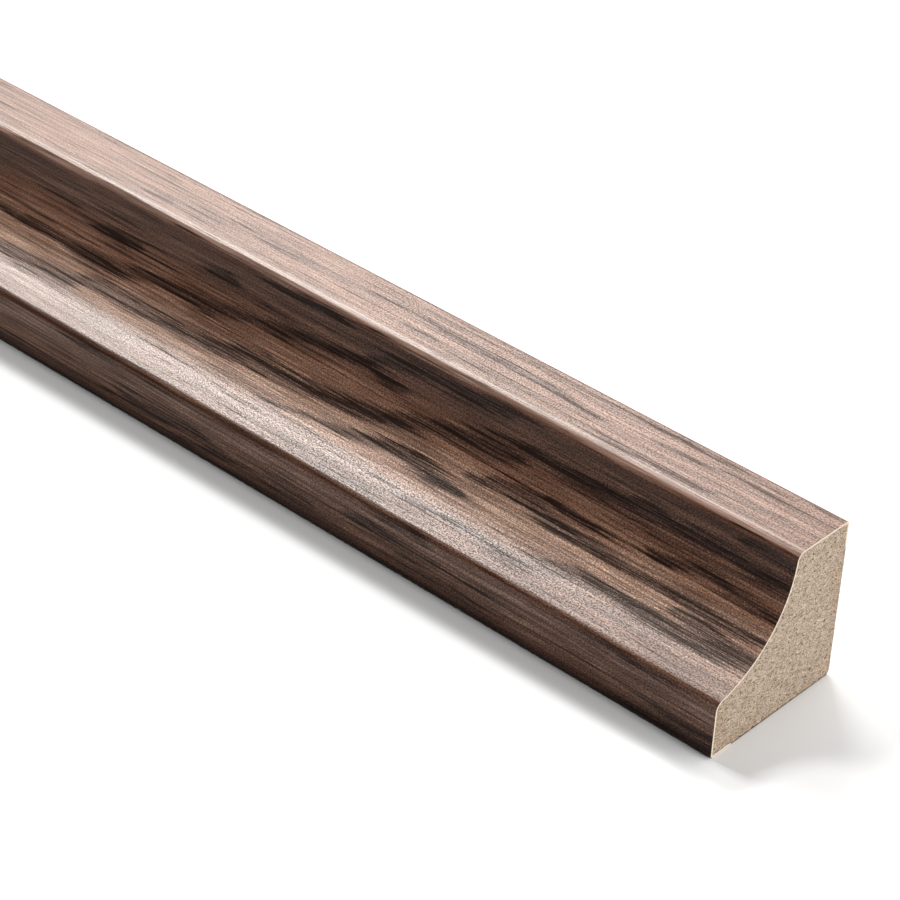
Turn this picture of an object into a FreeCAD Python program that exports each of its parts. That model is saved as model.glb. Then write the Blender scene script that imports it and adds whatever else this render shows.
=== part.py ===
import FreeCAD, Part
import math
import os

# Scotia moulding: a stick of foil-wrapped fibreboard for the joint between a floor and a wall.
# X runs along the stick, Y from the hollow front to the back, Z up.
# The origin is the middle of the underside. All sizes are in millimetres.

length = 2400.0          # a stick as it is sold
depth = 18.0             # front land to back face, along Y
height = 18.0            # underside to top land, along Z
front_land = 6.3         # height of the flat strip above the toe, to the sharp corner
top_land = 7.7           # width of the flat strip on top, to the sharp corner
cove_radius = 12.0       # hollow between the two lands

front_arris_radius = 1.2     # front land to cove
top_arris_radius = 1.0       # cove to top land
back_arris_radius = 0.4      # top land to back face
toe_radius = 0.3             # front land to underside
heel_radius = 0.6            # underside to back face

foil_thickness = 0.2     # printed foil on the show faces
foil_return = 3.0        # how far the foil is turned onto the back and onto the underside

front_y = -depth / 2.0
back_y = depth / 2.0


def cove_centre():
    """Centre (Y, Z) of the cove, which runs through the inner corner of each land."""
    low_y, low_z = front_y, front_land
    high_y, high_z = back_y - top_land, height
    chord = math.hypot(high_y - low_y, high_z - low_z)
    offset = math.sqrt(cove_radius ** 2 - (chord / 2.0) ** 2)
    middle_y = (low_y + high_y) / 2.0
    middle_z = (low_z + high_z) / 2.0
    centre_y = middle_y - offset * (high_z - low_z) / chord
    centre_z = middle_z + offset * (high_y - low_y) / chord
    return centre_y, centre_z


def moulding(inset):
    """The whole moulding, or the same shape with every long face moved inwards by inset."""
    centre_y, centre_z = cove_centre()
    radius = cove_radius + inset
    near_y = front_y + inset
    far_y = back_y - inset
    low_z = inset
    top_z = height - inset
    land_z = centre_z - math.sqrt(radius ** 2 - (near_y - centre_y) ** 2)
    land_y = centre_y + math.sqrt(radius ** 2 - (top_z - centre_z) ** 2)
    half_turn = math.sqrt(0.5) * radius

    start_x = -length / 2.0
    toe = FreeCAD.Vector(start_x, near_y, low_z)
    front_corner = FreeCAD.Vector(start_x, near_y, land_z)
    cove_middle = FreeCAD.Vector(start_x, centre_y + half_turn, centre_z - half_turn)
    top_corner = FreeCAD.Vector(start_x, land_y, top_z)
    back_corner = FreeCAD.Vector(start_x, far_y, top_z)
    heel = FreeCAD.Vector(start_x, far_y, low_z)

    outline = Part.Wire([
        Part.LineSegment(toe, front_corner).toShape(),
        Part.Arc(front_corner, cove_middle, top_corner).toShape(),
        Part.LineSegment(top_corner, back_corner).toShape(),
        Part.LineSegment(back_corner, heel).toShape(),
        Part.LineSegment(heel, toe).toShape(),
    ])
    stick = Part.Face(outline).extrude(FreeCAD.Vector(length, 0, 0))

    # All five long arrises are convex, so moving the faces inwards takes the inset off each radius.
    arrises = [
        (toe, toe_radius),
        (front_corner, front_arris_radius),
        (top_corner, top_arris_radius),
        (back_corner, back_arris_radius),
        (heel, heel_radius),
    ]
    for corner, arris_radius in arrises:
        stick = stick.makeFillet(arris_radius - inset, [long_edge(stick, corner)])
    return stick


def long_edge(stick, corner):
    """The straight edge that runs the whole length of the stick from this corner."""
    for edge in stick.Edges:
        at_start = any(v.Point.distanceToPoint(corner) < 1e-4 for v in edge.Vertexes)
        if at_start and abs(edge.Length - length) < 1e-4:
            return edge
    raise ValueError("no long edge at this corner")


def block(y0, y1, z0, z1):
    """A block as long as the stick, between the given limits across it."""
    corner = FreeCAD.Vector(-length / 2.0, y0, z0)
    return Part.makeBox(length, y1 - y0, z1 - z0, corner)


os.makedirs("parts", exist_ok=True)

whole = moulding(0.0)
backing = moulding(foil_thickness)

# Foil: a skin of one thickness over the lands, the cove and the arrises between them.
# Its two long edges are cut square, one on the back and one on the underside.
skin = whole.cut(backing)
bare_back = block(back_y - foil_thickness, back_y, 0.0, height - foil_return)
bare_underside = block(front_y + foil_return, back_y, 0.0, foil_thickness)
bare_heel = block(back_y - heel_radius, back_y, 0.0, heel_radius)
foil = skin.cut([bare_back, bare_underside, bare_heel])

# Core: what is left of the moulding. It is let in by the foil's thickness under the foil,
# so that the back and the underside are one plane each.
core = whole.cut(foil)

foil.Solids[0].exportStep("parts/decor_foil.step")
core.Solids[0].exportStep("parts/fibreboard_core.step")
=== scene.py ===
import math

import bpy
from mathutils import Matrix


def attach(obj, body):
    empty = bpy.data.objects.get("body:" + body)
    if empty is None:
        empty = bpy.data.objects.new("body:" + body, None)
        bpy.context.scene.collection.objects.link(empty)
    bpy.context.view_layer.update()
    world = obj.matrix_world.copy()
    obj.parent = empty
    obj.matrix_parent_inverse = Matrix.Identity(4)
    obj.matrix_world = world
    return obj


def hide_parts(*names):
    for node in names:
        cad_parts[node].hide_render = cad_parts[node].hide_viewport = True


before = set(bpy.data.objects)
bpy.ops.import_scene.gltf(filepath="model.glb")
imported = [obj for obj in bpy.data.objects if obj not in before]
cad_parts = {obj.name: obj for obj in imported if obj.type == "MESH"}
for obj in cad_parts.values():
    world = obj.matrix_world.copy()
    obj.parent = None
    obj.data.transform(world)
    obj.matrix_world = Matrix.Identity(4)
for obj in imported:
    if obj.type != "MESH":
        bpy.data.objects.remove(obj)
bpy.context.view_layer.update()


# Fibreboard core. One long bar of medium-density fibreboard, machined to the scotia's section
# and sawn square at both ends. It shows bare at the ends, on the back and on the underside.
STICK = 2.4
DEPTH = 0.018
HEIGHT = 0.018
FRONT_LAND = 0.0063
TOP_LAND = 0.0077
COVE_RADIUS = 0.012
FRONT_ARRIS = 0.0012
TOP_ARRIS = 0.001
BACK_ARRIS = 0.0004
TOE = 0.0003
HEEL = 0.0006
FOIL = 0.0002
FOIL_RETURN = 0.003
FRONT = -DEPTH / 2
BACK = DEPTH / 2
STATIONS = 50    # lengths of 48 mm along the stick
EDGE = 0.00012    # how near the arrises the flat faces have their support points
WELD = 1e-7    # points nearer than this are one
ARRIS_STEPS = 14
COVE_STEPS = 54
SMALL_STEPS = 6    # at the back arris and the heel
TOE_STEPS = 5
SMOOTH_BELOW = math.radians(30)
UP, OUT, DOWN = math.pi / 2, math.pi, 1.5 * math.pi


def polar(centre, radius, angle):
    """A point (Y, Z) of the section at this angle about a centre."""
    return centre[0] + radius * math.cos(angle), centre[1] + radius * math.sin(angle)


def heading(start, end):
    """The angle from one point (Y, Z) of the section to another."""
    return math.atan2(end[1] - start[1], end[0] - start[0]) % (2 * math.pi)


land_to_land = math.hypot(DEPTH - TOP_LAND, HEIGHT - FRONT_LAND)
cove_back_off = math.sqrt(COVE_RADIUS ** 2 - (land_to_land / 2) ** 2)
cove_centre = (
    (FRONT + BACK - TOP_LAND) / 2 - cove_back_off * (HEIGHT - FRONT_LAND) / land_to_land,
    (FRONT_LAND + HEIGHT) / 2 + cove_back_off * (DEPTH - TOP_LAND) / land_to_land,
)
top_arris_z = HEIGHT - TOP_ARRIS
rise = top_arris_z - cove_centre[1]
top_arris_reach = math.sqrt((COVE_RADIUS + TOP_ARRIS) ** 2 - rise ** 2)
top_arris_centre = (cove_centre[0] + top_arris_reach, top_arris_z)
front_arris_y = FRONT + FRONT_ARRIS
reach = front_arris_y - cove_centre[0]
front_arris_drop = math.sqrt((COVE_RADIUS + FRONT_ARRIS) ** 2 - reach ** 2)
front_arris_centre = (front_arris_y, cove_centre[1] - front_arris_drop)


class Pen:
    """Draws the section at the stick's far end, as a point drawn along lines and round arcs."""

    def __init__(self, name, start):
        bpy.ops.object.select_all(action="DESELECT")
        bpy.ops.mesh.primitive_plane_add(size=DEPTH, calc_uvs=False)
        self.piece = bpy.context.object
        self.piece.name = name
        self.piece.data.name = name
        bpy.ops.object.mode_set(mode="EDIT")
        bpy.ops.mesh.select_all(action="SELECT")
        bpy.ops.mesh.merge(type="CENTER")
        bpy.ops.transform.translate(value=(-STICK / 2, start[0], start[1]))
        self.at = start

    def line(self, y, z, support=0.0):
        """A straight run. Support is how far from its two ends it gets a further point each."""
        y0, z0 = self.at
        run = math.hypot(y - y0, z - z0)
        stops = [support / run, 1 - support / run, 1] if support else [1]
        for stop in stops:
            point = (y0 + (y - y0) * stop, z0 + (z - z0) * stop)
            step = (0, point[0] - self.at[0], point[1] - self.at[1])
            bpy.ops.mesh.extrude_vertices_move(TRANSFORM_OT_translate={"value": step})
            self.at = point

    def arc(self, centre, end_angle, steps):
        """An arc about centre from where the pen is to end_angle, the short way round."""
        radius = math.hypot(self.at[0] - centre[0], self.at[1] - centre[1])
        turn = (end_angle - heading(centre, self.at) + math.pi) % (2 * math.pi) - math.pi
        bpy.ops.mesh.spin(steps=steps, angle=-turn, center=(-STICK / 2, *centre), axis=(1, 0, 0))
        self.at = polar(centre, radius, end_angle)


def show_faces(pen, inset):
    """The top land, the cove and the front land with their arrises, moved inwards by inset."""
    pen.arc((BACK - BACK_ARRIS, HEIGHT - BACK_ARRIS), UP, SMALL_STEPS)
    pen.line(top_arris_centre[0], HEIGHT - inset, EDGE)
    pen.arc(top_arris_centre, heading(top_arris_centre, cove_centre), ARRIS_STEPS)
    pen.arc(cove_centre, heading(cove_centre, front_arris_centre), COVE_STEPS)
    pen.arc(front_arris_centre, OUT, ARRIS_STEPS)
    pen.line(FRONT + inset, TOE, EDGE)
    pen.arc((FRONT + TOE, TOE), DOWN, TOE_STEPS)


def draw_out():
    """Draws the selected section out along the stick, station by station."""
    bpy.ops.mesh.extrude_repeat(steps=STATIONS, offset=(STICK / STATIONS, 0, 0))
    bpy.ops.mesh.select_all(action="SELECT")
    bpy.ops.mesh.remove_doubles(threshold=WELD)


def spot_key(at):
    """What tells the section's points apart, whatever their station."""
    return round(at.y, 6), round(at.z, 6)


def girth_along(mesh):
    """How far each point (Y, Z) of the drawn section lies along it from its start, in mm."""
    neighbours = {}
    for edge in mesh.edges:
        a, b = edge.vertices
        neighbours.setdefault(a, []).append(b)
        neighbours.setdefault(b, []).append(a)
    last, here, run, girths = None, 0, 0.0, {}
    while here is not None:
        at = mesh.vertices[here].co
        girths[spot_key(at)] = run
        ahead = [v for v in neighbours[here] if v != last]
        last, here = here, ahead[0] if ahead else None
        if here is not None:
            run += 1000 * (mesh.vertices[here].co - at).length
    return girths


MAP_MARGIN = 0.01    # left free at both sides of a bake map
ROW_MARGIN = 0.03    # left free at both sides of a row, as a share of it


def row_spot(face, x, across, rows, bottom, tall):
    """A corner's spot in one band of the bake map, which shows a strip as long as the stick, cut
    into rows. Across runs from 0 to 1 over the strip."""
    length = STICK / rows
    row = min(int((STICK / 2 - face.center.x) / length), rows - 1)
    along = (STICK / 2 - x) / length - row
    share = (row + ROW_MARGIN + (1 - 2 * ROW_MARGIN) * across) / rows
    return MAP_MARGIN + (1 - 2 * MAP_MARGIN) * along, bottom + tall * share


pen = Pen("fibreboard_core_raw", (BACK, HEIGHT - FOIL_RETURN))
core = pen.piece
pen.line(BACK - FOIL, HEIGHT - FOIL_RETURN)
pen.line(BACK - FOIL, HEIGHT - BACK_ARRIS, EDGE)
show_faces(pen, FOIL)
pen.line(FRONT + FOIL_RETURN, FOIL, EDGE)
pen.line(FRONT + FOIL_RETURN, 0)
pen.line(BACK - HEEL, 0, EDGE)
pen.arc((BACK - HEEL, HEEL), 0, SMALL_STEPS)
pen.line(BACK, HEIGHT - FOIL_RETURN, EDGE)
bpy.ops.object.mode_set(mode="OBJECT")
core_girths = girth_along(core.data)
bpy.ops.object.mode_set(mode="EDIT")
bpy.ops.mesh.select_all(action="SELECT")
bpy.ops.mesh.remove_doubles(threshold=WELD)
bpy.ops.mesh.edge_face_add()
draw_out()
bpy.ops.mesh.normals_make_consistent(inside=False)
bpy.ops.object.mode_set(mode="OBJECT")
bpy.ops.object.shade_smooth_by_angle(angle=SMOOTH_BELOW)

# The bake map has the bare underside, heel and back in five rows, the faces under the foil in one
# row over them, and the two sawn ends above.
SHOW_ROWS = 5
BARE_BAND = (0.01, 0.61)    # bottom and height, as shares of the map
COVERED_BAND = (0.63, 0.05)
END_BOTTOM = 0.69
END_SIZE = 0.30
NEAR_END_LEFT = 0.01
FAR_END_LEFT = 0.34
HAIR = 0.001    # girths nearer than this, in mm, are the same
COVERED = core_girths[round(FRONT + FOIL_RETURN, 6), 0.0]
ROUND = max(core_girths.values())
core_map = core.data.uv_layers.new(name="OFBake")
for face in core.data.polygons:
    points = [core.data.vertices[v].co for v in face.vertices]
    girths = [core_girths[spot_key(at)] for at in points]
    for loop, at, girth in zip(face.loop_indices, points, girths):
        if abs(face.normal.x) > 0.5:
            left = NEAR_END_LEFT if face.center.x > 0 else FAR_END_LEFT
            spot = left + END_SIZE * (at.y - FRONT) / DEPTH, END_BOTTOM + END_SIZE * at.z / HEIGHT
        elif min(girths) < COVERED - HAIR:
            across = girth / COVERED if girth <= COVERED + HAIR else 0.0
            spot = row_spot(face, at.x, across, 1, *COVERED_BAND)
        else:
            across = (girth - COVERED) / (ROUND - COVERED)
            spot = row_spot(face, at.x, across, SHOW_ROWS, *BARE_BAND)
        core_map.data[loop].uv = spot


class Nodes:
    """A node tree under construction, with short ways to add nodes to it."""

    def __init__(self, tree):
        self.tree = tree

    def node(self, kind, inputs=(), **settings):
        """Adds a node with these settings, and wires or sets the given inputs."""
        node = self.tree.nodes.new(kind)
        for setting, value in settings.items():
            setattr(node, setting, value)
        for socket, value in dict(inputs).items():
            self.join(node.inputs[socket], value)
        return node

    def join(self, socket, value):
        """Wires an output into a socket, or sets the socket to a plain value."""
        if isinstance(value, bpy.types.NodeSocket):
            self.tree.links.new(value, socket)
        else:
            socket.default_value = value

    def maths(self, operation, a, b=0.0, c=0.0):
        """The result of one Math node."""
        return self.node("ShaderNodeMath", {0: a, 1: b, 2: c}, operation=operation).outputs[0]

    def remap(self, value, low, high, to_low=0.0, to_high=1.0):
        """A value brought smoothly from one range to another."""
        numbers = {"Value": value, 1: low, 2: high, 3: to_low, 4: to_high}
        node = self.node("ShaderNodeMapRange", numbers, interpolation_type="SMOOTHSTEP")
        return node.outputs["Result"]

    def blend(self, share, first, second, how="MIX"):
        """Two colours mixed by a share."""
        node = self.node("ShaderNodeMix", {}, data_type="RGBA", blend_type=how)
        self.join(node.inputs[0], share)
        self.join(node.inputs[6], first)
        self.join(node.inputs[7], second)
        return node.outputs[2]

    def noise(self, where, size, detail=2.0, roughness=0.5, seed=0.0):
        """Noise on coordinates in millimetres, stretched to this size (X, Y, Z) in millimetres."""
        start = (seed, seed * 0.7, seed * 0.3)
        inputs = {"Vector": where, "Location": start, "Scale": [1 / s for s in size]}
        placed = self.node("ShaderNodeMapping", inputs, vector_type="POINT")
        inputs = {"Vector": placed.outputs[0], "Detail": detail, "Roughness": roughness}
        return self.node("ShaderNodeTexNoise", {"Scale": 1.0, **inputs}).outputs["Fac"]


class Finish(Nodes):
    """A material under construction, with its Principled shader."""

    def __init__(self, name):
        self.material = bpy.data.materials.new(name)
        self.material.use_nodes = True
        super().__init__(self.material.node_tree)
        self.shader = self.tree.nodes["Principled BSDF"]


MILLIMETRES = (1000, 1000, 1000)
STICK_END = 500 * STICK    # how far the sawn ends are from the middle, in mm
SIDE = 500 * DEPTH    # and the front and the back
PRESSED_DEPTH = 3.0    # how far in the board is browner, in mm
PRESSED_HEIGHT = 3.5
FRAY_AND_SHADE_LENGTH = 0.5
BOARD_RELIEF = 0.00013
BOARD_BROWN = (0.438, 0.337, 0.252, 1)
BOARD_PALE = (0.545, 0.436, 0.338, 1)
PRESSED_BROWN = (0.380, 0.262, 0.166, 1)
FLECK_BROWN = (0.298, 0.166, 0.084, 1)
PIT_BROWN = (0.096, 0.058, 0.038, 1)
# The dark brown of the fray and of the painted contact shade at the lower edge of each end.
FRAY_AND_SHADE_BROWN = (0.080, 0.048, 0.030, 1)
board = Finish("raw_fibreboard")
place = board.node("ShaderNodeTexCoord").outputs["Object"]
place = board.node("ShaderNodeMapping", {"Vector": place, "Scale": MILLIMETRES}).outputs[0]
cloudy = board.noise(place, (3.5, 3.5, 3.5), 3, 0.6)
clump = board.remap(board.noise(place, (0.9, 0.75, 0.45), 3, 0.6, 7), 0.34, 0.66)
fibre = board.remap(board.noise(place, (0.22, 0.34, 0.17), 3, 0.7, 3), 0.32, 0.68)
speck = board.remap(board.noise(place, (0.13, 0.13, 0.13), 1, 0.5, 11), 0.36, 0.64)
pit = board.remap(board.noise(place, (0.40, 0.50, 0.24), 2, 0.6, 29), 0.41, 0.33)
fleck = board.remap(board.noise(place, (0.55, 0.70, 0.22), 2, 0.55, 53), 0.59, 0.67)

# The board is pressed harder, and so is browner, near its front, its back and its underside.
sides = board.node("ShaderNodeSeparateXYZ", {0: place}).outputs
pressed = board.remap(board.maths("ABSOLUTE", sides["Y"]), SIDE - PRESSED_DEPTH, SIDE)
pressed = board.maths("MAXIMUM", pressed, board.remap(sides["Z"], PRESSED_HEIGHT, 0.0))
pressed = board.maths("MULTIPLY", pressed, board.remap(cloudy, 0.35, 0.65, 0.3, 1.0))

# The lower edge of each end is dark, partly the saw's fray and partly painted contact shade.
fray_and_shade = board.maths("ADD", sides["Z"], board.maths("MULTIPLY", fibre, 0.12))
fray_and_shade = board.remap(fray_and_shade, 0.30, 0.12)
at_end = board.maths("ABSOLUTE", sides["X"])
at_end = board.remap(at_end, STICK_END - FRAY_AND_SHADE_LENGTH, STICK_END - 0.2)
fray_and_shade = board.maths("MULTIPLY", fray_and_shade, at_end)

colour = board.blend(clump, BOARD_BROWN, BOARD_PALE)
colour = board.blend(board.maths("MULTIPLY", pressed, 0.50), colour, PRESSED_BROWN)
colour = board.blend(board.maths("MULTIPLY", fleck, 0.65), colour, FLECK_BROWN)
colour = board.blend(board.maths("MULTIPLY", pit, 0.85), colour, PIT_BROWN)
colour = board.blend(board.maths("MULTIPLY", fray_and_shade, 0.85), colour, FRAY_AND_SHADE_BROWN)
grit = board.maths("MULTIPLY_ADD", fibre, 0.32, board.maths("MULTIPLY_ADD", speck, 0.44, 0.81))
shaded = board.node("ShaderNodeVectorMath", {0: colour}, operation="SCALE")
board.join(shaded.inputs["Scale"], grit)
board.join(board.shader.inputs["Base Color"], shaded.outputs[0])
board.shader.inputs["Roughness"].default_value = 0.9
board.shader.inputs["Specular IOR Level"].default_value = 0.2
rough = board.maths("MULTIPLY_ADD", fibre, 0.8, board.maths("MULTIPLY_ADD", speck, 0.4, clump))
rough = board.maths("SUBTRACT", rough, board.maths("MULTIPLY", pit, 1.2))
bump = {"Height": rough, "Strength": 0.9, "Distance": BOARD_RELIEF}
bump = board.node("ShaderNodeBump", bump)
board.join(board.shader.inputs["Normal"], bump.outputs[0])
core.data.materials.append(board.material)

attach(core, "root")
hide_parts("fibreboard_core")


# Printed foil. One strip of thin decor foil with a dark walnut grain, glued over the show faces
# by a wrapping machine and turned 3 mm onto the back and the underside. Its cut edge is pale.
pen = Pen("decor_foil_wrap", (BACK, HEIGHT - FOIL_RETURN))
foil = pen.piece
pen.line(BACK, HEIGHT - BACK_ARRIS, EDGE)
show_faces(pen, 0)
pen.line(FRONT + FOIL_RETURN, 0, EDGE)
bpy.ops.object.mode_set(mode="OBJECT")
girths = girth_along(foil.data)
bpy.ops.object.mode_set(mode="EDIT")
bpy.ops.mesh.select_all(action="SELECT")
draw_out()
bpy.ops.object.mode_set(mode="OBJECT")
top_face = max(foil.data.polygons, key=lambda face: face.center.z)
if top_face.normal.z < 0:
    bpy.ops.object.mode_set(mode="EDIT")
    bpy.ops.mesh.select_all(action="SELECT")
    bpy.ops.mesh.flip_normals()
    bpy.ops.object.mode_set(mode="OBJECT")

# U is the distance from the photographed end and V the girth, both in millimetres. The top land
# has the girths 3 to 10, the cove 11 to 26 and the front land 27 to 33, with an arris between two.
grain_map = foil.data.uv_layers.new(name="grain")
for loop in foil.data.loops:
    at = foil.data.vertices[loop.vertex_index].co
    grain_map.data[loop.index].uv = (1000 * (STICK / 2 - at.x), girths[spot_key(at)])
TOTAL_GIRTH = max(girths.values())

bpy.ops.object.modifier_add(type="SOLIDIFY")
solidify = foil.modifiers[-1]
solidify.thickness = FOIL
solidify.offset = -1
solidify.use_even_offset = True
solidify.use_rim = True
solidify.material_offset_rim = 1

print_face = Finish("walnut_print")
where = print_face.node("ShaderNodeUVMap", uv_map="grain").outputs[0]
parts = print_face.node("ShaderNodeSeparateXYZ", {0: where})
along, girth = parts.outputs[0], parts.outputs[1]

# The dark streaks of the print at the photographed end. Each track is a row of points, with the
# distance from that end, the girth and the half width in millimetres. A half width of 0 is a gap.
# The first four tracks lie on the top land, the last three on the front land, the rest in the cove.
TRACKS = (
    ((0, 4.0, 0.1), (12, 3.9, 0.14), (30, 3.8, 0.14), (48, 3.9, 0.08), (56, 4.0, 0)),
    ((11, 7.6, 0), (16, 7.6, 0.12), (21, 7.4, 0), (24, 6.6, 0), (29, 6.4, 0.3), (37, 6.0, 0.45),
     (46, 5.8, 0.45), (54, 5.9, 0.25), (62, 6.4, 0.12), (70, 6.4, 0.25), (79, 6.5, 0)),
    ((4, 5.2, 0), (7, 5.1, 0.12), (11, 4.9, 0.18), (15, 5.5, 0.2), (20, 5.6, 0.15), (26, 5.6, 0),
     (44, 7.8, 0), (49, 7.8, 0.2), (55, 7.8, 0), (83, 8.1, 0), (87, 8.1, 0.3), (91, 8.3, 0)),
    ((0, 7.4, 0.16), (5, 7.5, 0.2), (10, 7.9, 0.25), (13, 8.7, 0.3), (18, 9.1, 0.25),
     (25, 9.2, 0.18), (32, 9.1, 0), (41, 9.0, 0), (45, 9.4, 0.2), (49, 9.6, 0), (90, 9.3, 0),
     (96, 9.4, 0.15), (103, 9.4, 0)),
    ((0, 11.9, 0.2), (4, 11.7, 0.28), (9, 12.0, 0), (27, 11.2, 0), (35, 11.3, 0.28),
     (43, 11.2, 0), (54, 11.2, 0), (60, 11.2, 0.3), (67, 11.4, 0.2), (74, 11.6, 0)),
    ((32, 12.4, 0), (38, 11.9, 0.4), (43, 11.9, 0.5), (47, 12.3, 0.55), (51, 12.9, 0.5),
     (55, 14.2, 0.45), (60, 14.8, 0.5), (64, 15.4, 0.45), (69, 15.9, 0.4), (74, 16.6, 0.45),
     (80, 17.2, 0.35), (84, 17.4, 0.5), (88, 18.2, 0.5), (93, 18.5, 0.5), (99, 18.1, 0.42),
     (108, 18.3, 0.32), (114, 18.3, 0)),
    ((0, 13.8, 0.5), (4, 14.0, 0.45), (8, 13.5, 0.5), (14, 13.8, 0.45), (19, 14.0, 0.55),
     (25, 14.3, 0.6), (30, 14.3, 0.5), (34, 15.5, 0.7), (38, 15.8, 0.6), (42, 16.7, 0.5),
     (46, 17.3, 0.45), (51, 18.4, 0.5), (57, 19.0, 0.5), (62, 19.4, 0.45), (67, 19.5, 0.5),
     (72, 20.4, 0.45), (80, 20.6, 0.45), (90, 20.9, 0.5), (95, 22.2, 0.5), (104, 22.2, 0.3),
     (110, 22.4, 0)),
    ((0, 17.1, 0.3), (4, 16.7, 0.25), (9, 16.5, 0.3), (13, 17.1, 0.3), (18, 16.5, 0),
     (45, 14.9, 0), (50, 14.8, 0.28), (55, 14.5, 0), (70, 13.6, 0), (74, 13.2, 0.3),
     (80, 13.4, 0), (84, 15.0, 0), (89, 15.0, 0.4), (97, 15.2, 0)),
    ((0, 19.5, 0.28), (6, 19.4, 0.35), (12, 19.3, 0.35), (16, 19.6, 0.3), (21, 19.3, 0.35),
     (26, 19.0, 0.45), (30, 18.4, 0.5), (34, 18.7, 0.45), (36, 19.3, 0.3), (40, 19.5, 0)),
    ((16, 17.6, 0), (22, 17.8, 0.18), (26, 17.6, 0.2), (31, 18.2, 0), (34, 21.7, 0),
     (38, 21.3, 0.3), (41, 21.0, 0.4), (45, 20.6, 0.4), (49, 21.0, 0.35), (54, 21.6, 0.2),
     (63, 22.6, 0.15), (68, 22.8, 0)),
    ((0, 21.4, 0.4), (4, 21.3, 0.45), (9, 21.0, 0.3), (12, 21.4, 0), (15, 23.1, 0),
     (20, 23.4, 0.3), (24, 23.8, 0.35), (31, 24.2, 0.3), (38, 24.4, 0.15), (46, 23.9, 0.12),
     (52, 23.8, 0)),
    ((0, 22.6, 0.2), (5, 22.5, 0.35), (9, 22.4, 0.45), (14, 22.4, 0.45), (20, 22.5, 0.35),
     (25, 22.9, 0.15), (30, 23.0, 0)),
    ((2, 27.6, 0), (6, 27.5, 0.2), (14, 27.5, 0.3), (20, 27.3, 0.15), (24, 27.3, 0),
     (33, 27.4, 0), (38, 27.4, 0.3), (45, 27.4, 0.1), (48, 27.4, 0), (76, 27.5, 0),
     (84, 27.4, 0.2), (92, 27.5, 0)),
    ((0, 31.0, 0.4), (5, 31.0, 0.4), (10, 30.6, 0.3), (16, 30.3, 0), (20, 29.6, 0),
     (26, 29.5, 0.35), (32, 29.7, 0.15), (36, 29.4, 0.3), (44, 29.4, 0.35), (50, 29.4, 0),
     (60, 30.8, 0), (68, 30.6, 0.4), (76, 30.9, 0.45), (84, 30.4, 0)),
    ((0, 32.2, 0.3), (9, 32.3, 0.2), (16, 32.0, 0), (26, 31.5, 0), (32, 31.2, 0.3),
     (40, 31.4, 0.25), (46, 31.5, 0), (49, 30.7, 0), (55, 30.6, 0.4), (62, 31.0, 0.2),
     (70, 32.2, 0.2), (80, 32.3, 0)),
)
TRACK_LENGTH = 120.0
TRACK_GIRTH = 40.0
STREAK_REACH = 2.7    # how far a streak's shade goes, in half widths
STREAK_BLUR = 0.06    # and further by this, in millimetres
FULL_HALF_WIDTH = 0.2    # narrower streaks are fainter
STREAK_WANDER = 1.6


def streak_group():
    """Masks one track of streaks, with 1 along its middle and 0 beyond its reach."""
    group = bpy.data.node_groups.new("grain_streak", "ShaderNodeTree")
    for name in ("Girth", "Centre", "Half Width"):
        group.interface.new_socket(name, in_out="INPUT", socket_type="NodeSocketFloat")
    group.interface.new_socket("Mask", in_out="OUTPUT", socket_type="NodeSocketFloat")
    inside = Nodes(group)
    given = inside.node("NodeGroupInput").outputs
    result = inside.node("NodeGroupOutput").inputs[0]
    far = inside.maths("MULTIPLY_ADD", given["Half Width"], STREAK_REACH, STREAK_BLUR)
    off = inside.maths("ABSOLUTE", inside.maths("SUBTRACT", given["Girth"], given["Centre"]))
    slope = inside.maths("SUBTRACT", 1.0, inside.maths("DIVIDE", off, far))
    fade = inside.maths("MULTIPLY", given["Half Width"], 1 / FULL_HALF_WIDTH)
    fade = inside.maths("MINIMUM", fade, 1.0)
    inside.join(result, inside.maths("MULTIPLY", inside.maths("MAXIMUM", slope, 0.0), fade))
    return group


def drawn_curve(finish, points):
    """A curve along the first 120 mm of the stick, through (distance, value) points."""
    curve = finish.node("ShaderNodeFloatCurve", {"Value": near_share})
    drawn = curve.mapping.curves[0].points
    steps = [(x / TRACK_LENGTH, y / TRACK_GIRTH) for x, y in points]
    steps = ([(0.0, steps[0][1])] if steps[0][0] > 0 else []) + steps + [(1.0, steps[-1][1])]
    for x, y in steps[1:-1]:
        drawn.new(x, y)
    drawn[0].location, drawn[len(drawn) - 1].location = steps[0], steps[-1]
    for point in drawn:
        point.handle_type = "AUTO_CLAMPED"
    curve.mapping.update()
    return finish.maths("MULTIPLY", curve.outputs[0], TRACK_GIRTH)


near_share = print_face.maths("DIVIDE", along, TRACK_LENGTH)
wander = print_face.noise(where, (9, 2.5, 1), 3, 0.6, 2)
wander = print_face.maths("SUBTRACT", wander, 0.5)
wavy = print_face.maths("MULTIPLY_ADD", wander, STREAK_WANDER, girth)
streak = streak_group()
zone = 0.0
for track in TRACKS:
    middle = drawn_curve(print_face, [(x, y) for x, y, half in track])
    half = drawn_curve(print_face, [(x, half) for x, y, half in track])
    mask = print_face.node("ShaderNodeGroup", node_tree=streak)
    for name, value in (("Girth", wavy), ("Centre", middle), ("Half Width", half)):
        print_face.join(mask.inputs[name], value)
    zone = print_face.maths("MAXIMUM", zone, mask.outputs["Mask"])

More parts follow.
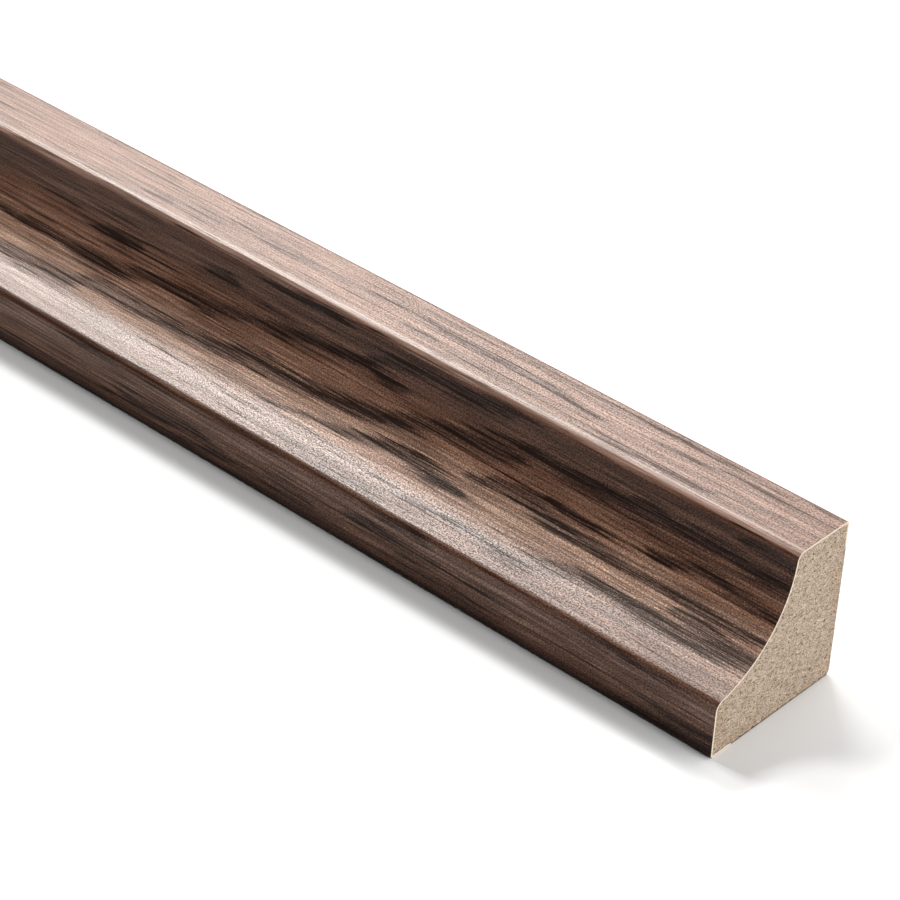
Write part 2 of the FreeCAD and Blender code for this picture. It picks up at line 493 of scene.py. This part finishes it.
# From 100 mm on, the streaks follow the contours of a stretched noise.
CONTOUR_STEP = 0.085
CONTOUR_SLOPE = 30.0
contour = print_face.noise(where, (75, 3.6, 1), 2, 0.45, 17)
contour = print_face.maths("ABSOLUTE", print_face.maths("SUBTRACT", contour, 0.5))
contour = print_face.maths("PINGPONG", contour, CONTOUR_STEP)
bands = print_face.maths("MULTIPLY", contour, CONTOUR_SLOPE)
bands = print_face.maths("SUBTRACT", 1.0, bands)
gate = print_face.remap(print_face.noise(where, (30, 1.6, 1), 2, 0.5, 31), 0.30, 0.50)
far_share = print_face.remap(along, 100, 122)
bands = print_face.maths("MULTIPLY", print_face.maths("MULTIPLY", bands, gate), far_share)
zone = print_face.maths("MAXIMUM", zone, bands)

# Dashes and hair lines run with the stick and gather in the streaks.
dash = print_face.remap(print_face.noise(where, (9.0, 0.21, 1), 3, 0.55, 5), 0.34, 0.66)
hair = print_face.remap(print_face.noise(where, (5.0, 0.09, 1), 2, 0.6, 9), 0.34, 0.66)
patch = print_face.remap(print_face.noise(where, (22, 1.2, 1), 2, 0.5, 41), 0.40, 0.66)
grain = print_face.maths("MULTIPLY_ADD", dash, 0.62, print_face.maths("MULTIPLY", hair, 0.34))
pull = print_face.maths("MULTIPLY_ADD", patch, 0.20, grain)
strand = print_face.remap(print_face.noise(where, (12, 0.36, 1), 3, 0.6, 57), 0.50, 0.68)
pull = print_face.maths("MULTIPLY_ADD", strand, 0.45, pull)
zone = print_face.maths("MULTIPLY", zone, print_face.remap(girth, 9.8, 10.8, 0.62, 1.0))
zone = print_face.maths("MULTIPLY", zone, print_face.remap(girth, 26.4, 27.4, 1.0, 0.72))
dark = print_face.maths("MINIMUM", zone, print_face.remap(girth, 9.8, 10.8, 0.60, 0.78))
dark = print_face.remap(print_face.maths("MULTIPLY_ADD", dark, 0.66, pull), 0.86, 1.36)
# Painted sheen: the streaks are fainter over the lower cove, where the sheen lies.
dark = print_face.maths("MULTIPLY", dark, print_face.remap(girth, 21.0, 24.5, 1.0, 0.8))
halo = print_face.remap(print_face.maths("MULTIPLY_ADD", pull, 0.35, zone), 0.20, 0.95)

PALE_BROWN = (0.366, 0.214, 0.146, 1)
LIGHT_BROWN = (0.260, 0.132, 0.083, 1)
MID_BROWN = (0.125, 0.056, 0.032, 1)
SHADE_BROWN = (0.074, 0.035, 0.0235, 1)
STREAK_BROWN = (0.0240, 0.0092, 0.0058, 1)
TOP_STREAK_BROWN = (0.052, 0.022, 0.012, 1)    # the streaks of the top land
THREAD_BROWN = (0.040, 0.020, 0.014, 1)
colour = print_face.blend(print_face.remap(pull, 0.50, 0.12), LIGHT_BROWN, PALE_BROWN)
shade = print_face.maths("MULTIPLY", print_face.remap(pull, 0.45, 0.90), 0.75)
colour = print_face.blend(shade, colour, MID_BROWN)
smoke = print_face.remap(print_face.noise(where, (20, 0.75, 1), 3, 0.55, 83), 0.46, 0.66)
smoke = print_face.maths("MULTIPLY", smoke, print_face.remap(girth, 10.0, 11.5, 0.15, 0.5))
colour = print_face.blend(smoke, colour, SHADE_BROWN)
colour = print_face.blend(print_face.maths("MULTIPLY", halo, 0.80), colour, SHADE_BROWN)
thread = print_face.remap(print_face.noise(where, (11, 0.22, 1), 2, 0.5, 97), 0.53, 0.64)
thread = print_face.maths("MULTIPLY", thread, print_face.maths("MULTIPLY_ADD", halo, 0.45, 0.3))
colour = print_face.blend(thread, colour, THREAD_BROWN)

# The print's tone from girth to girth, which multiplies the colour, with painted light in it: a
# painted highlight along the top arris, painted light over the middle and lower cove, and painted
# shade just above the top arris and along the toe. Its bounds waver a little.
TONE_AND_LIGHT_WAVER = 0.7
waver = print_face.noise(where, (15, 60, 1), 2, 0.5, 71)
waver = print_face.maths("SUBTRACT", waver, 0.5)
waver = print_face.maths("MULTIPLY_ADD", waver, TONE_AND_LIGHT_WAVER, girth)
waver = print_face.maths("ADD", waver, print_face.remap(along, 15, 60, 0.12, -0.12))
tone_and_light_ramp = print_face.node("ShaderNodeValToRGB", {0: print_face.maths("DIVIDE", waver, TRACK_GIRTH)})
stops = tone_and_light_ramp.color_ramp.elements
# Painted highlight at 10.25 and 10.55, painted light from 15 to 23.2, painted shade at 9.4 and
# 32.8.
TONES_AND_PAINTED_LIGHT = (
    (8.6, (1.0, 1.0, 1.0)), (9.4, (0.84, 0.86, 0.88)), (9.9, (0.92, 0.98, 1.04)),
    (10.25, (1.85, 2.2, 2.65)), (10.55, (2.1, 2.5, 2.95)), (10.78, (1.15, 1.0, 0.92)),
    (11.02, (0.82, 0.58, 0.45)), (11.6, (0.87, 0.77, 0.73)), (15.0, (1.28, 1.2, 1.16)),
    (17.5, (1.92, 1.9, 1.88)), (20.5, (2.5, 2.95, 3.25)), (23.2, (1.75, 2.05, 2.3)),
    (24.8, (0.97, 1.05, 1.13)), (26.3, (0.8, 0.82, 0.85)), (27.0, (0.5, 0.37, 0.29)),
    (27.7, (1.85, 2.05, 2.35)), (31.0, (1.9, 1.9, 1.92)), (32.8, (0.42, 0.25, 0.18)),
)
for i, (position, tone) in enumerate(TONES_AND_PAINTED_LIGHT):
    stop = stops[i] if i < 2 else stops.new(position / TRACK_GIRTH)
    stop.position, stop.color = position / TRACK_GIRTH, (*tone, 1)
colour = print_face.blend(1.0, colour, tone_and_light_ramp.outputs[0], "MULTIPLY")
streak_colour = print_face.remap(girth, 9.5, 11.0)
streak_colour = print_face.blend(streak_colour, TOP_STREAK_BROWN, STREAK_BROWN)
colour = print_face.blend(dark, colour, streak_colour)

# A fine stipple covers the print. It is faint on the top arris, and it weakens from 45 mm to
# 100 mm off the photographed end. Its brightest dots gather beside the streaks.
TOP_ARRIS_GIRTH = 10.1
stipple = print_face.noise(where, (0.20, 0.15, 1), 1, 0.6, 23)
fleck = print_face.remap(stipple, 0.28, 0.72, 0.62, 1.38)
spark = print_face.maths("MULTIPLY_ADD", halo, 2.2, 0.7)
spark = print_face.maths("MULTIPLY", print_face.remap(stipple, 0.66, 0.75), spark)
fleck = print_face.maths("ADD", fleck, spark)
off_arris = print_face.maths("ABSOLUTE", print_face.maths("SUBTRACT", girth, TOP_ARRIS_GIRTH))
off_arris = print_face.remap(off_arris, 0.3, 0.9, 0.2, 1.0)
off_arris = print_face.maths("MULTIPLY", off_arris, print_face.remap(along, 45, 100, 1.0, 0.55))
fleck_strength = print_face.remap(girth, 9.0, 13.0, 0.85, 1.25)
fleck_strength = print_face.maths("MULTIPLY", off_arris, fleck_strength)
fleck = print_face.maths("SUBTRACT", fleck, 1.0)
fleck = print_face.maths("MULTIPLY_ADD", fleck, fleck_strength, 1.0)
colour = print_face.node("ShaderNodeVectorMath", {0: colour}, operation="SCALE")
print_face.join(colour.inputs["Scale"], fleck)
print_face.join(print_face.shader.inputs["Base Color"], colour.outputs[0])

# The lacquer is dull over the dark streaks, and its fine relief breaks up the sheen.
MEAN_LACQUER = 0.55
LACQUER_TINT = (1.0, 0.82, 0.69, 1)
PRINT_RELIEF = 0.00006
gloss = print_face.maths("MULTIPLY_ADD", hair, 0.08, 0.38)
gloss = print_face.maths("MULTIPLY_ADD", fleck, -0.08, gloss)
print_face.join(print_face.shader.inputs["Roughness"], gloss)
print_face.shader.inputs["Specular IOR Level"].default_value = 0.32
print_face.shader.inputs["Specular Tint"].default_value = LACQUER_TINT
lacquer = print_face.remap(stipple, 0.36, 0.58, 0.0, 1.0)
lacquer = print_face.maths("SUBTRACT", lacquer, MEAN_LACQUER)
lacquer = print_face.maths("MULTIPLY_ADD", lacquer, off_arris, MEAN_LACQUER)
lacquer = print_face.maths("MULTIPLY", lacquer, print_face.remap(dark, 0.0, 1.0, 1.0, 0.06))
print_face.join(print_face.shader.inputs["Coat Weight"], lacquer)
print_face.shader.inputs["Coat Roughness"].default_value = 0.30
relief = print_face.maths("MULTIPLY_ADD", stipple, 0.8, print_face.maths("MULTIPLY", hair, -0.2))
relief = print_face.maths("MULTIPLY", relief, off_arris)
swell = print_face.noise(where, (17, 2.8, 1), 1, 0.5, 67)
swell = print_face.maths("MULTIPLY", swell, print_face.remap(girth, 10.5, 16.0, 1.6, 5.0))
relief = print_face.maths("ADD", swell, relief)
bump = {"Height": relief, "Strength": 0.9, "Distance": PRINT_RELIEF}
bump = print_face.node("ShaderNodeBump", bump)
print_face.join(print_face.shader.inputs["Normal"], bump.outputs[0])
foil.data.materials.append(print_face.material)

PAPER_PALE = (0.73, 0.62, 0.485, 1)
cut_edge = Finish("foil_cut_edge")
cut_edge.shader.inputs["Base Color"].default_value = PAPER_PALE
cut_edge.shader.inputs["Roughness"].default_value = 0.8
foil.data.materials.append(cut_edge.material)
sheet_faces, sheet_points = len(foil.data.polygons), len(foil.data.vertices)
bpy.ops.object.modifier_apply(modifier=solidify.name)

# The bake map has the show side in five rows, the glued side in one row over them, then the two
# long cut edges, and the cut edges of both ends on top.
SHOW_BAND = (0.01, 0.86)
GLUED_BAND = (0.875, 0.06)
BACK_EDGE_BAND = (0.945, 0.01)
TOE_EDGE_BAND = (0.96, 0.01)
NEAR_CUT_LEFT = 0.01
FAR_CUT_LEFT = 0.51
CUT_WIDTH = 0.48
CUT_BOTTOM = 0.976
CUT_HEIGHT = 0.015
grain_map = foil.data.uv_layers["grain"]
foil_map = foil.data.uv_layers.new(name="OFBake")
for i, face in enumerate(foil.data.polygons):
    girths = [grain_map.data[loop].uv.y for loop in face.loop_indices]
    for loop, vertex, girth in zip(face.loop_indices, face.vertices, girths):
        x, share = foil.data.vertices[vertex].co.x, girth / TOTAL_GIRTH
        inside = 1.0 if vertex >= sheet_points else 0.0
        if i < sheet_faces:
            spot = row_spot(face, x, share, SHOW_ROWS, *SHOW_BAND)
        elif i < 2 * sheet_faces:
            spot = row_spot(face, x, share, 1, *GLUED_BAND)
        elif max(girths) - min(girths) < HAIR:
            band = BACK_EDGE_BAND if share < 0.5 else TOE_EDGE_BAND
            spot = row_spot(face, x, inside, 1, *band)
        else:
            left = NEAR_CUT_LEFT if face.center.x > 0 else FAR_CUT_LEFT
            spot = left + CUT_WIDTH * share, CUT_BOTTOM + CUT_HEIGHT * inside
        foil_map.data[loop].uv = spot
bpy.ops.object.shade_smooth_by_angle(angle=SMOOTH_BELOW)

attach(foil, "root")
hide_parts("decor_foil")


# Floor. A plain matt studio floor that the stick lies on. It shows white where no shadow falls
# and throws back only a weak grey light.
FLOOR_SIZE = 90
FLOOR_GAP = 0.00002
SEEN_WHITE = (0.83, 0.83, 0.826, 1)
LIT_GREY = (0.35, 0.35, 0.35, 1)
MIRRORED_GREY = (0.25, 0.25, 0.25, 1)
bpy.ops.object.select_all(action="DESELECT")
bpy.ops.mesh.primitive_plane_add(size=FLOOR_SIZE, location=(0, 0, -FLOOR_GAP))
floor = bpy.context.object
floor.name = "studio_floor"
floor_paint = Finish("floor_paint")
path = floor_paint.node("ShaderNodeLightPath").outputs
mirrored = floor_paint.maths("MAXIMUM", path["Is Glossy Ray"], path["Is Transmission Ray"])
floor_colour = floor_paint.blend(mirrored, LIT_GREY, MIRRORED_GREY)
floor_colour = floor_paint.blend(path["Is Camera Ray"], floor_colour, SEEN_WHITE)
floor_paint.join(floor_paint.shader.inputs["Base Color"], floor_colour)
floor_paint.shader.inputs["Roughness"].default_value = 1.0
floor_paint.shader.inputs["Specular IOR Level"].default_value = 0.0
floor.data.materials.append(floor_paint.material)


# Studio light. Four soft boxes above and behind the stick, towards its far end, which give the
# sheen on the top land and in the lower cove. One stands low at its sawn end. A weak even light
# is all round.
BOX_DISTANCE = 30
LIT_SPOT = 1.14    # the place along X that the soft boxes stand round
ROUND_LIGHT = 0.06
SEEN_LIGHT = 1.0


def soft_box(name, direction, wide, high, strength):
    """A soft box in that direction from the sawn end, facing it. Strength is its radiance."""
    length = math.sqrt(sum(c * c for c in direction))
    way = [c / length for c in direction]
    lamp = bpy.data.lights.new(name, "AREA")
    lamp.shape = "RECTANGLE"
    lamp.size, lamp.size_y = wide, high
    lamp.energy = 4 * strength * wide * high
    box = bpy.data.objects.new(name, lamp)
    bpy.context.collection.objects.link(box)
    box.location = (LIT_SPOT + BOX_DISTANCE * way[0], BOX_DISTANCE * way[1], BOX_DISTANCE * way[2])
    box.rotation_euler = (math.acos(way[2]), 0, math.atan2(way[1], way[0]) + math.pi / 2)
    return box


soft_box("back_soft_box", (0.10, 0.49, 0.86), wide=24, high=4.8, strength=9.8)
soft_box("left_soft_box", (-0.56, 0.38, 0.73), wide=9.6, high=5.4, strength=19.0)
soft_box("back_left_soft_box", (-0.56, 0.58, 0.59), wide=12.6, high=9, strength=4.3)
soft_box("top_left_soft_box", (-0.60, 0.02, 0.80), wide=6.6, high=6.6, strength=24.0)
soft_box("end_soft_box", (0.90, 0.35, 0.25), wide=18, high=12, strength=11.2)

world = bpy.data.worlds.new("studio")
bpy.context.scene.world = world
world.use_nodes = True
background = world.node_tree.nodes["Background"]
background.inputs["Color"].default_value = (1, 1, 1, 1)
air = Nodes(world.node_tree)
path = air.node("ShaderNodeLightPath").outputs
seen = {"Value": path["Is Camera Ray"], "To Min": ROUND_LIGHT, "To Max": SEEN_LIGHT}
seen = air.node("ShaderNodeMapRange", seen).outputs["Result"]
air.join(background.inputs["Strength"], seen)


# Camera. Placed and turned as the photograph's, found from the stick's edges and its cut end.
# It looks down at the sawn end from the front, through a long lens.
FOCAL_LENGTH = 126.908
SENSOR_WIDTH = 36
CAMERA_PLACE = (1.3283654, -0.1958306, 0.187156)
CAMERA_TURN = (55.55846, -2.40624, 42.56521)
lens = bpy.data.cameras.new("photo_camera")
lens.lens = FOCAL_LENGTH
lens.sensor_width = SENSOR_WIDTH
lens.clip_start = 0.01
lens.clip_end = 100
camera = bpy.data.objects.new("photo_camera", lens)
bpy.context.collection.objects.link(camera)
camera.location = CAMERA_PLACE
camera.rotation_euler = [math.radians(angle) for angle in CAMERA_TURN]
bpy.context.scene.camera = camera
bpy.context.scene.view_settings.view_transform = "Standard"
